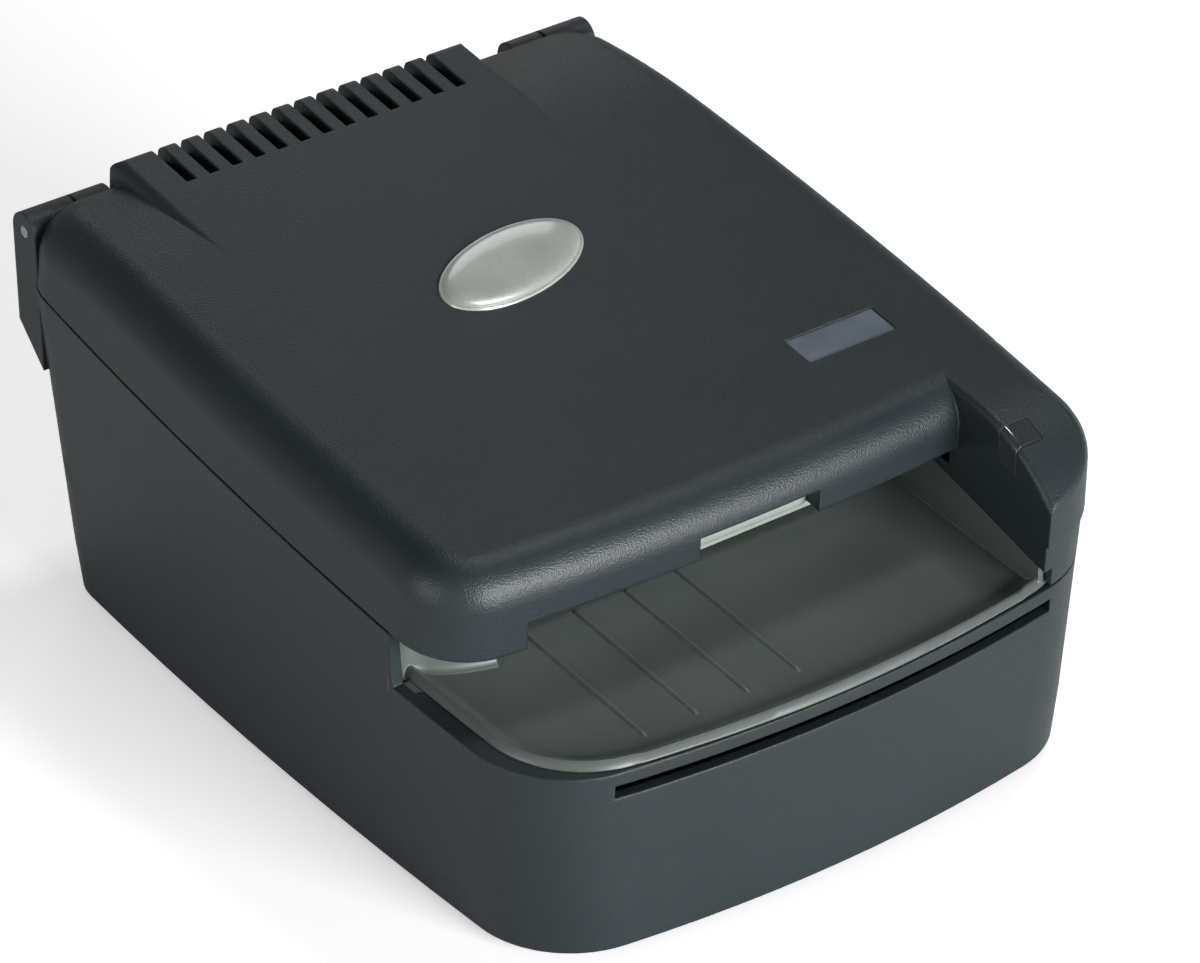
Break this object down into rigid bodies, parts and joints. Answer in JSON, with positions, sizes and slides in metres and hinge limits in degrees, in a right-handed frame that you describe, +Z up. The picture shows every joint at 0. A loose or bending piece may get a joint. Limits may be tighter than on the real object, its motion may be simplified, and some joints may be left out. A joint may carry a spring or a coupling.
{
  "type": "cheque scanner",
  "caption": "Desktop cheque scanner with a hinged cover, a shallow entry tray, a paper guide arm with a status light and a row of air slots over the rear.",
  "frame": {"origin": "centre of the whole outline, on the surface that the feet stand on", "axes": "+Z up, -Y towards the entry tray at the front, +X towards the guide arm on the user's right"},
  "size_m": [0.1452, 0.184, 0.092],
  "materials": {
    "housing": "fine texture",
    "tray": "fine texture",
    "guide": "satin",
    "rubber": "matt",
    "steel": "plated",
    "sheet": "galvanised",
    "brass": "plain",
    "nylon": "plain",
    "badge": "satin metallic",
    "plate": "satin metallic",
    "smoke": "smoky clear",
    "board": "lacquered",
    "chips": "plain",
    "glass": "clear"
  },
  "bodies": {
    "base": {"base_housing": "housing", "bottom_pan": "housing", "rubber_feet": "rubber", "housing_screws": "steel", "entry_tray": "tray", "paper_bed": "tray", "chassis_left": "sheet", "chassis_right": "sheet", "shaft_bushes": "brass", "idler_stud": "steel", "stepper_motor": "sheet", "read_head": "steel", "head_bracket": "sheet", "circuit_board": "board", "board_parts": "chips", "board_screws": "steel", "power_inlet": "chips", "usb_socket": "steel", "serial_socket": "chips", "hinge_pins": "steel"},
    "cover": {"top_cover": "housing", "oval_badge": "badge", "name_plate": "plate", "light_pipe": "smoke", "upper_guide": "guide", "image_sensor": "chips", "sensor_glass": "glass", "guide_screws": "steel"},
    "front_feed": {"front_feed_shaft": "steel", "front_feed_tyres": "rubber", "front_feed_gear": "nylon"},
    "rear_feed": {"rear_feed_shaft": "steel", "rear_feed_tyres": "rubber", "rear_feed_gear": "nylon"},
    "idler": {"idler_gear": "nylon"},
    "rotor": {"motor_shaft": "steel", "motor_pinion": "brass"},
    "front_pinch": {"front_pinch_axle": "steel", "front_pinch_tyres": "rubber"},
    "rear_pinch": {"rear_pinch_axle": "steel", "rear_pinch_tyres": "rubber"}
  },
  "joints": [
    {"name": "cover_hinge", "type": "hinge", "parent": "base", "child": "cover", "pos_m": [0, 0.08783, 0.083], "axis": [-1, 0, 0], "range_deg": [0, 100]},
    {"name": "front_feed_spin", "type": "hinge", "parent": "base", "child": "front_feed", "pos_m": [0, -0.02372, 0.03901], "axis": [1, 0, 0], "continuous": true},
    {"name": "rear_feed_spin", "type": "hinge", "parent": "base", "child": "rear_feed", "pos_m": [0, 0.0322, 0.04201], "axis": [1, 0, 0], "continuous": true},
    {"name": "idler_spin", "type": "hinge", "parent": "base", "child": "idler", "pos_m": [0, 0.00481, 0.02976], "axis": [1, 0, 0], "continuous": true},
    {"name": "motor_spin", "type": "hinge", "parent": "base", "child": "rotor", "pos_m": [0, 0.028, 0.02042], "axis": [1, 0, 0], "continuous": true},
    {"name": "front_pinch_spin", "type": "hinge", "parent": "cover", "child": "front_pinch", "pos_m": [0, -0.02443, 0.05229], "axis": [1, 0, 0], "continuous": true},
    {"name": "rear_pinch_spin", "type": "hinge", "parent": "cover", "child": "rear_pinch", "pos_m": [0, 0.03148, 0.05529], "axis": [1, 0, 0], "continuous": true}
  ],
  "couplings": [
    {"joint": "rear_feed_spin", "follows": "front_feed_spin", "ratio": 1},
    {"joint": "idler_spin", "follows": "front_feed_spin", "ratio": -0.66667},
    {"joint": "motor_spin", "follows": "front_feed_spin", "ratio": 1.7143}
  ]
}
